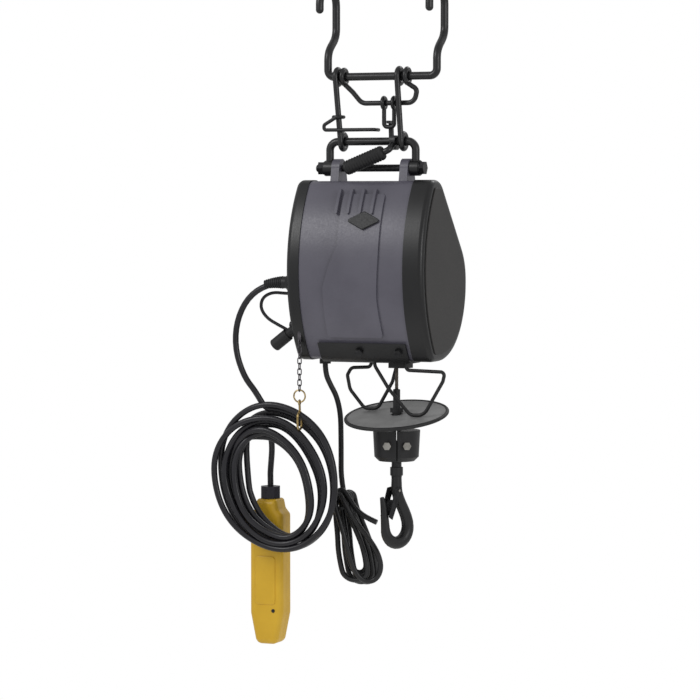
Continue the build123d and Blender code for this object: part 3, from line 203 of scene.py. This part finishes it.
# Cast housing: violet-grey enamel with a slight orange peel over the casting's skin.
enamel = finish(
    "violet_grey_enamel", "53515C", "605E69", 0.40, patch=14.0, grain=380.0, relief=0.10, coat=0.12
)
paint(enamel, "main_housing")
cover_black = finish("moulded_cover", "0E0E10", "161618", 0.36, patch=25.0, grain=1100.0, relief=0.05)
paint(cover_black, "left_cover", "right_cover")
end_brown = finish("end_panel_coat", "151211", "1D1A18", 0.48, patch=18.0, grain=800.0, relief=0.05)
paint(end_brown, "end_panel")
badge_black = finish("badge_gloss", "060608", "0C0C10", 0.46, patch=60.0, grain=600.0, relief=0.005)
paint(badge_black, "badge")
screw_black = finish(
    "blackened_screw", "1B1B1D", "38383A", 0.40, metal=0.6, patch=200.0, grain=2500.0, relief=0.02
)
paint(screw_black, "case_screws", "hanger_bolt", "nut_and_washers", "hook_latch")
plate_black = finish("plate_paint", "0E0E10", "171719", 0.46, patch=50.0, grain=900.0, relief=0.04)
paint(plate_black, "base_plate", "rope_collar", "hook_weight")
disc_paint = finish("disc_grey", "7A7A7A", "8E8E8E", 0.55, patch=45.0, grain=800.0, relief=0.05)
paint(disc_paint, "limit_disc")
edging = finish("edging_rubber", "121214", "1B1B1D", 0.58, patch=70.0, grain=1400.0, relief=0.03)
paint(edging, "disc_edging", "rope_bush", "side_boot")
nylon = finish("black_nylon", "101012", "19191B", 0.48, patch=80.0, grain=1600.0, relief=0.02)
paint(nylon, "cable_gland", "power_gland", "limit_switch")
gland_violet = finish(
    "pendant_gland_nylon", "151220", "211D2E", 0.40, patch=80.0, grain=1300.0, relief=0.02
)
paint(gland_violet, "pendant_gland")
brass = finish("worn_brass", "A88E5A", "CDB683", 0.32, metal=1.0, patch=150.0, grain=1500.0, relief=0.02)
paint(brass, "snap_hook", "snap_gate")
chain_metal = finish(
    "chain_steel", "4A484C", "6B686C", 0.38, metal=0.9, patch=180.0, grain=1800.0, relief=0.02
)
paint(chain_metal, "coil_chain")
yellow = finish("pendant_yellow", "D4A71E", "E2B52A", 0.42, patch=22.0, grain=900.0, relief=0.03, coat=0.1)
paint(yellow, "pendant_front_shell", "pendant_rear_shell")
green = finish("button_green", "116B2A", "178036", 0.36, patch=60.0, grain=900.0, relief=0.02)
paint(green, "up_button")
button_black = finish("button_black", "141416", "1E1E20", 0.36, patch=60.0, grain=900.0, relief=0.02)
paint(button_black, "down_button")
red = finish("button_red", "9C1518", "B51D20", 0.36, patch=60.0, grain=900.0, relief=0.02)
paint(red, "stop_button")

# Inside the housing: laminated core, enamelled copper, cut gears, cast drum, greased rope
# and bright bearings.
core = finish(
    "laminated_core", "5A5B5E", "77787B", 0.40, metal=1.0, patch=60.0, grain=900.0, relief=0.08,
    stretch=(6, 0.5, 0.5),
)
paint(core, "motor_stator", "motor_rotor", "brake_magnet")
copper = finish(
    "enamelled_copper", "8A4320", "B4602E", 0.28, metal=0.8, patch=80.0, grain=900.0, relief=0.15, coat=0.4
)
paint(copper, "motor_windings")
gear_steel = finish(
    "cut_gear_steel", "7B7B7D", "9B9B9C", 0.30, metal=1.0, patch=100.0, grain=1500.0, relief=0.02,
    stretch=(1, 4, 4),
)
paint(gear_steel, "motor_pinion", "counter_gear", "drum_gear")
cast_iron = finish("cast_drum", "3B3A39", "565452", 0.58, metal=0.7, patch=70.0, grain=700.0, relief=0.12)
paint(cast_iron, "rope_drum")
rope_metal = finish(
    "greased_rope", "38332E", "7C766E", 0.40, metal=0.9, patch=260.0, grain=1800.0, relief=0.05
)
paint(rope_metal, "wound_rope")
race_steel = finish(
    "bearing_race", "A9A9AA", "C4C4C5", 0.16, metal=1.0, patch=90.0, grain=2000.0, relief=0.005
)
paint(race_steel, "ball_bearings")
bright = finish(
    "drawn_aluminium", "AEAFB1", "C8C9CA", 0.30, metal=1.0, patch=40.0, grain=1200.0, relief=0.02,
    stretch=(0.3, 3, 3),
)
paint(bright, "capacitor", "bulkheads")
fan_grey = finish("fan_plastic", "303133", "3E3F41", 0.50, patch=60.0, grain=1200.0, relief=0.03)
paint(fan_grey, "cooling_fan")
ivory = finish("terminal_ivory", "BDB69E", "CDC7B0", 0.48, patch=60.0, grain=1200.0, relief=0.02)
paint(ivory, "terminal_block")


# ---------------------------------------------------------------- control cable
# One round PVC cable: a free loop from the gland, nearly nine turns in a hanging coil,
# and a tail to the pendant.
# The turns lie side by side at the sides of the coil and stack in depth under it, as a hand-made coil does.
def metres(points):
    """Millimetre points as vectors in metres."""
    return [Vector(p) / 1000 for p in points]


def round_cord(name, points, radius):
    """A cord as one smooth open spline through its route, round and closed at the ends."""
    curve = bpy.data.curves.new(name, "CURVE")
    curve.dimensions = "3D"
    spline = curve.splines.new("NURBS")
    spline.points.add(len(points) - 1)
    for control, place in zip(spline.points, points):
        control.co = (*place, 1.0)
    spline.order_u = 3
    spline.use_endpoint_u = True
    spline.resolution_u = 4
    curve.bevel_depth = radius
    curve.bevel_resolution = 5
    curve.use_fill_caps = True
    piece = bpy.data.objects.new(name, curve)
    scene.collection.objects.link(piece)
    return piece


coil_at = Vector((-130.5, 0.0, -657.0))
layer_y = (-47.5, -37.5, -28.0)
slots = [(0, 1), (0, 0), (1, 0), (1, 1), (2, 0), (2, 1), (1, 2), (0, 2), (2, 2)]
steps = 36


def coil_point(row, layer, angle):
    """A point of the coil at an angle from +X, in the given row inward and layer backward."""
    from_bottom = abs((angle + 101 + 180) % 360 - 180)
    share = min(from_bottom / 70, 1)
    side = share * share * (3 - 2 * share)
    inward = (1 - side) * row / 2 + side * (row * 3 + layer) / 8
    a = radians(angle)
    spot = Vector((0, 0, 0))
    for (half_x, half_z, lean, off_x, off_z), weight in (
        ((91.5, 103.0, 20, 1.5, 0), 1 - inward),
        ((43.0, 73.0, 23, -2.5, -15), inward),
    ):
        tip = radians(lean)
        x, z = half_x * cos(a), half_z * sin(a)
        spot += weight * Vector((off_x + x * cos(tip) - z * sin(tip), 0, off_z + x * sin(tip) + z * cos(tip)))
    depth = layer_y[0] + (layer_y[1] - layer_y[0]) * min(layer, 1)
    depth += (layer_y[2] - layer_y[1]) * max(layer - 1, 0)
    waver = 0.8 * sin(2 * a + 2.1 * row + 1.3 * layer) + 0.5 * sin(5 * a + 3.3 * row)
    return coil_at + spot + Vector((waver, depth + 0.6 * waver, 0.8 * waver))


lead = [
    (-118, -45, -384),
    (-142, -45, -387),
    (-171, -45, -406),
    (-188, -45, -440),
    (-190, -45, -479),
    (-177, -44, -517),
    (-160, -43, -537),
]
tail = [
    (-184, -24, -603),
    (-172, -22, -588),
    (-158, -18, -588),
    (-149, -13, -602),
    (-150, -7, -620),
    (-155, 1, -640),
    (-159, 7, -656),
    (-160, 10, -667),
    (-160, 10, -682),
]
turns = []
start_angle, last_angle = 78.0, 150.0
for k, (row, layer) in enumerate(slots):
    next_row, next_layer = slots[k + 1] if k + 1 < len(slots) else (row, layer)
    count = steps if k + 1 < len(slots) else int(steps * (1 - (last_angle - start_angle) / 360))
    for step in range(count):
        share = min(max((step / steps - 0.78) / 0.22, 0), 1)
        share = share * share * (3 - 2 * share)
        turns.append(
            coil_point(
                row + (next_row - row) * share,
                layer + (next_layer - layer) * share,
                start_angle - 360 * step / steps,
            )
        )
cable_route = metres(lead) + [p / 1000 for p in turns] + metres(tail)
cable_d = 0.0086
cable = round_cord("control_cable", cable_route, cable_d / 2)
cable_pvc = finish("cable_pvc", "131217", "1D1C22", 0.34, patch=30.0, grain=500.0, relief=0.05)
dress(
    cable,
    cable_pvc,
    "housing",
    "cable_black",
    "control_cable_lead",
    "control_cable_coil",
    "control_cable_tail",
)


def swept(name, path, radii, sides=24):
    """A closed bar along the path with its radius given at each point."""
    points, faces = [], []
    ahead = (path[1] - path[0]).normalized()
    across = ahead.orthogonal().normalized()
    for i, (centre, radius) in enumerate(zip(path, radii)):
        heading = (path[min(i + 1, len(path) - 1)] - path[max(i - 1, 0)]).normalized()
        across = ahead.rotation_difference(heading) @ across
        ahead = heading
        other = ahead.cross(across)
        for k in range(sides):
            a = 2 * pi * k / sides
            points.append(centre + radius * (cos(a) * across + sin(a) * other))
    for i in range(len(path) - 1):
        for k in range(sides):
            a, b = i * sides + k, i * sides + (k + 1) % sides
            faces.append((a, b, b + sides, a + sides))
    last = (len(path) - 1) * sides
    faces.append(tuple(range(sides - 1, -1, -1)))
    faces.append(tuple(range(last, last + sides)))
    return mesh_piece(name, points, faces)


# Strain relief: a soft ribbed sleeve that tapers along the cable where it leaves the gland.
relief_path, relief_radii = [], []
for k in range(33):
    x = -117.0 - 26.0 * k / 32
    drop = 3.2 * (k / 32) ** 2
    rib = 0.9 if k % 4 in (0, 1) else 0.0
    relief_path.append(Vector((x, -45, -384.0 - drop)) / 1000)
    relief_radii.append((8.0 - 2.6 * k / 32 + rib) / 1000)
relief = swept("cable_strain_relief", relief_path, relief_radii, 28)
dress(relief, edging, "housing", "black_nylon")


# ---------------------------------------------------------------- power cord
# A thinner cord that hangs straight down behind the coil and is folded up into a tied hank,
# its end left bare.
hank_axis = [(-684, -56), (-715, -49), (-745, -40), (-788, -31), (-830, -28)]


def hank_x(z):
    """Where the hank's middle is at a height."""
    for (z0, x0), (z1, x1) in zip(hank_axis, hank_axis[1:]):
        if z >= z1:
            return x0 + (x1 - x0) * (z - z0) / (z1 - z0)
    return hank_axis[-1][1]


power_route = [
    (-74, 6, -495),
    (-74, 6, -512),
    (-68, 9, -528),
    (-60, 14, -545),
    (-56, 19, -570),
    (-57, 23, -600),
    (-58, 26, -632),
    (-59, 28, -661),
]
lobes = (  # width as a share of the widest, shift along X, and height of the fold's middle
    (1.0, -1.5, -790),
    (0.62, 2.0, -780),
    (0.92, 0.5, -794),
    (0.7, -2.5, -784),
    (0.85, 2.0, -796),
)
lobe_step = 7.7
top_half, widest, fold_drop = 8, 20, 15  # half widths at the tie and at the fold, and the depth of the fold
for k, (lobe_share, lobe_shift, foot) in enumerate(lobes):
    y = 29 + (k - 2) * lobe_step
    sides = []
    for z in (-702, -720, -742, -764):
        wide = (top_half + (widest - top_half) * (-700 - z) / 64) * lobe_share
        sides.append((z, wide))
    power_route += [(hank_x(z) + lobe_shift + wide, y, z) for z, wide in sides]
    for turn_at in range(0, 181, 30):
        t = radians(turn_at)
        fold = widest * lobe_share
        z = foot - fold_drop * sin(t)
        power_route.append((hank_x(z) + lobe_shift + fold * cos(t), y, z))
    power_route += [(hank_x(z) + lobe_shift - wide, y, z) for z, wide in reversed(sides)]
    if k + 1 < len(lobes):
        for turn_at in range(30, 151, 30):
            t = radians(turn_at)
            over_x, over_z = hank_x(-702) - top_half * cos(t), -692 + 9 * sin(t)
            power_route.append((over_x, y + lobe_step * turn_at / 180, over_z))
power_route += [
    (-63, 35, -688),
    (-60, 22, -681),
    (-54, 10, -682),
    (-47, 5, -690),
    (-38, 5, -706),
    (-25, 8, -726),
    (-9, 12, -746),
    (3, 15, -766),
    (7, 17, -786),
    (0, 17, -802),
    (-14, 14, -807),
    (-27, 8, -797),
    (-35, 4, -774),
    (-42, 2, -746),
    (-51, 2, -718),
    (-60, 6, -697),
    (-60, 12, -681),
    (-51, 15, -676),
    (-42, 14, -688),
    (-30, 11, -703),
    (-16, 10, -714),
    (2, 11, -721),
]
power_path = metres(power_route)
power_d = 0.0076
power = round_cord("power_cord", power_path, power_d / 2)
power_pvc = finish("power_cord_pvc", "131315", "1D1D1F", 0.40, patch=35.0, grain=600.0, relief=0.05)
dress(power, power_pvc, "housing", "cable_black", "power_cord_lead", "power_cord_hank")

# Tie: a nylon band round the top of the hank.
tie_steps, tie_r = 40, 17.5
tie_path = [
    Vector((-55.5 + tie_r * cos(t), 25 + tie_r * sin(t), -704 + 3 * cos(t))) / 1000
    for t in [2 * pi * k / tie_steps for k in range(tie_steps)]
]
tie_points, tie_faces = [], []
for k, p in enumerate(tie_path):
    out = Vector((cos(2 * pi * k / tie_steps), sin(2 * pi * k / tie_steps), 0))
    for dr, dz in ((0, -2.2), (1.3, -2.2), (1.3, 2.2), (0, 2.2)):
        tie_points.append(p + (out * dr + Vector((0, 0, dz))) / 1000)
for k in range(tie_steps):
    for j in range(4):
        a, b = 4 * k + j, 4 * k + (j + 1) % 4
        after = 4 * ((k + 1) % tie_steps)
        c, d = after + (j + 1) % 4, after + j
        tie_faces.append((a, d, c, b))
tie = mesh_piece("hank_tie", tie_points, tie_faces)
dress(tie, nylon, "housing", "black_nylon")


# ---------------------------------------------------------------- link cable
# A thin cable from the left end that loops round into the moulded boot below it.
link_path = metres(
    [
        (-103.3, -30, -400),
        (-118, -30, -400),
        (-138, -33, -398),
        (-153, -34, -406),
        (-156, -34, -421),
        (-146, -33, -435),
        (-130, -31, -444),
        (-116, -30, -451),
    ]
)
link_d = 0.0046
link = round_cord("link_cable_cord", link_path, link_d / 2)
dress(link, cable_pvc, "housing", "cable_black", "link_cable")


# ---------------------------------------------------------------- wire rope
# Six laid strands round a core, from the drum down into the collar.
rope_centre = Vector((0.036, 0.0, 0.0))
rope_top, rope_end, lay_length = -0.381, -0.532, 0.032
rope_points, rope_faces = [], []
rings, strands, sides = 120, 6, 8
for strand in range(strands + 1):
    off, thick = (0.0, 0.0011) if strand == strands else (0.00165, 0.00085)
    base = len(rope_points)
    for i in range(rings + 1):
        z = rope_top + (rope_end - rope_top) * i / rings
        a = 2 * pi * (z / lay_length + strand / strands)
        middle = rope_centre + Vector((off * cos(a), off * sin(a), z))
        for k in range(sides):
            b = 2 * pi * k / sides
            rope_points.append(middle + Vector((thick * cos(b), thick * sin(b), 0)))
    for i in range(rings):
        for k in range(sides):
            a, b = base + sides * i + k, base + sides * i + (k + 1) % sides
            rope_faces.append((a, a + sides, b + sides, b))
    rope_faces.append(tuple(base + k for k in range(sides)))
    rope_faces.append(tuple(base + sides * (rings + 1) - 1 - k for k in range(sides)))
rope = mesh_piece("laid_rope", rope_points, rope_faces, 60)
rope.data.materials.append(rope_metal)
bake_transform(rope)
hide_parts("wire_rope")


# ---------------------------------------------------------------- load hook
# Forged hook with a swivel shank: round neck, thick bowl, and a tip that thins and flares out.
hook_turn = radians(60)
hook_across = Vector((cos(hook_turn), sin(hook_turn), 0))


def hook_point(x, z):
    """A point in the hook's own plane."""
    return (Vector((36, 0, -653)) + x * hook_across + Vector((0, 0, z))) / 1000


profile = [(0, 6, 7.0), (0, -4, 7.2), (0, -16, 7.6)]
for k in range(1, 9):
    t = k / 8
    profile.append((20 * (3 * t * t - 2 * t**3), -16 - 56 * t, 7.6 + 0.9 * t))
for k in range(1, 16):
    t = pi * k / 15
    profile.append((20 * cos(t), -72 - 22 * sin(t), 8.5 + 0.9 * sin(t) - 2.3 * (k / 15) ** 2))
profile += [(-20.8, -62, 5.8), (-21.6, -52, 5.3), (-22.8, -43, 4.7), (-24.4, -35, 3.9), (-26.2, -29, 2.8)]
hook = swept("forged_hook", [hook_point(x, z) for x, z, _ in profile], [r / 1000 for _, _, r in profile], 28)
forged = finish("forged_black", "101012", "1A1A1C", 0.40, patch=70.0, grain=700.0, relief=0.08)
dress(hook, forged, "load_hook", "black_paint", "load_hook")
shank_at = [(-604, 7.0), (-640.5, 7.0), (-641, 9), (-652.5, 9), (-653, 7.4), (-655, 7.4)]
shank_path = [Vector((36, 0, z)) / 1000 for z, _ in shank_at]
shank = swept("hook_shank", shank_path, [r / 1000 for _, r in shank_at], 32)
dress(shank, forged, "load_hook", "black_paint")
pin_path = [hook_point(-3, -20) + Vector((sin(hook_turn), -cos(hook_turn), 0)) * y / 1000 for y in (-11, 11)]
pin = swept("latch_pin", pin_path, [0.0018, 0.0018], 16)
dress(pin, zinc, "load_hook", "zinc_steel")


# ---------------------------------------------------------------- lever grip
# Rubber sleeve on the lock lever with shallow rings for the fingers.
lever_top, lever_end = Vector((33, -22, -200)), Vector((-27, -22, -224))
lever_way = (lever_end - lever_top).normalized()
grip_from = lever_top + lever_way * 8
grip_length = (lever_end - lever_top).length - 2
grip_path, grip_radii = [], []
for k in range(61):
    along = grip_length * k / 60
    ring = 0.45 * sin(along / 4.2 * 2 * pi) if 5 < along < grip_length - 5 else 0
    end_in = max(0, 4 - along, 4 - (grip_length - along))
    grip_path.append((grip_from + lever_way * along) / 1000)
    grip_radii.append((10.0 + ring - (4 - (16 - end_in**2) ** 0.5)) / 1000)
grip = swept("ribbed_grip", grip_path, grip_radii, 32)
grip_rubber = finish("grip_rubber", "101012", "181819", 0.56, patch=60.0, grain=1500.0, relief=0.03)
dress(grip, grip_rubber, "lock_lever", "grip_rubber", "lever_grip")


# ---------------------------------------------------------------- pendant back
# The moulded back has a low raised panel with round edges, and a dark screw in its foot.
panel_points, panel_faces = [], []
panel_mid, panel_half = Vector((-160.0, -9.0, -808.5)), Vector((15.0, 0, 34.5))
corner_r = 5.0
outline = []
for corner, (sx, sz) in enumerate(((1, 1), (-1, 1), (-1, -1), (1, -1))):
    for k in range(7):
        t = radians(90 * corner + 15 * k)
        x = sx * (panel_half.x - corner_r) + corner_r * cos(t)
        z = sz * (panel_half.z - corner_r) + corner_r * sin(t)
        outline.append((x, z))
for inset, out in ((0.0, -0.6), (0.0, 0.7), (0.5, 1.15), (1.2, 1.3)):
    for x, z in outline:
        shrink_x, shrink_z = 1 - inset / panel_half.x, 1 - inset / panel_half.z
        panel_points.append((panel_mid + Vector((x * shrink_x, -out, z * shrink_z))) / 1000)
count = len(outline)
for level in range(3):
    for k in range(count):
        a, b = level * count + k, level * count + (k + 1) % count
        panel_faces.append((a, b, b + count, a + count))
panel_faces.append(tuple(range(count - 1, -1, -1)))
panel_faces.append(tuple(range(3 * count, 4 * count)))
panel = mesh_piece("pendant_back_panel", panel_points, panel_faces)
dress(panel, yellow, "pendant", "yellow_shell")
for screw_name, x, z in (("pendant_screw_low", -148, -851.5), ("pendant_screw_high", -172, -742)):
    screw_path = [Vector((x, y, z)) / 1000 for y in (-7.5, -9.7, -10.2)]
    screw = swept(screw_name, screw_path, [0.0026, 0.0026, 0.0019], 20)
    dress(screw, screw_black, "pendant", "yellow_shell")
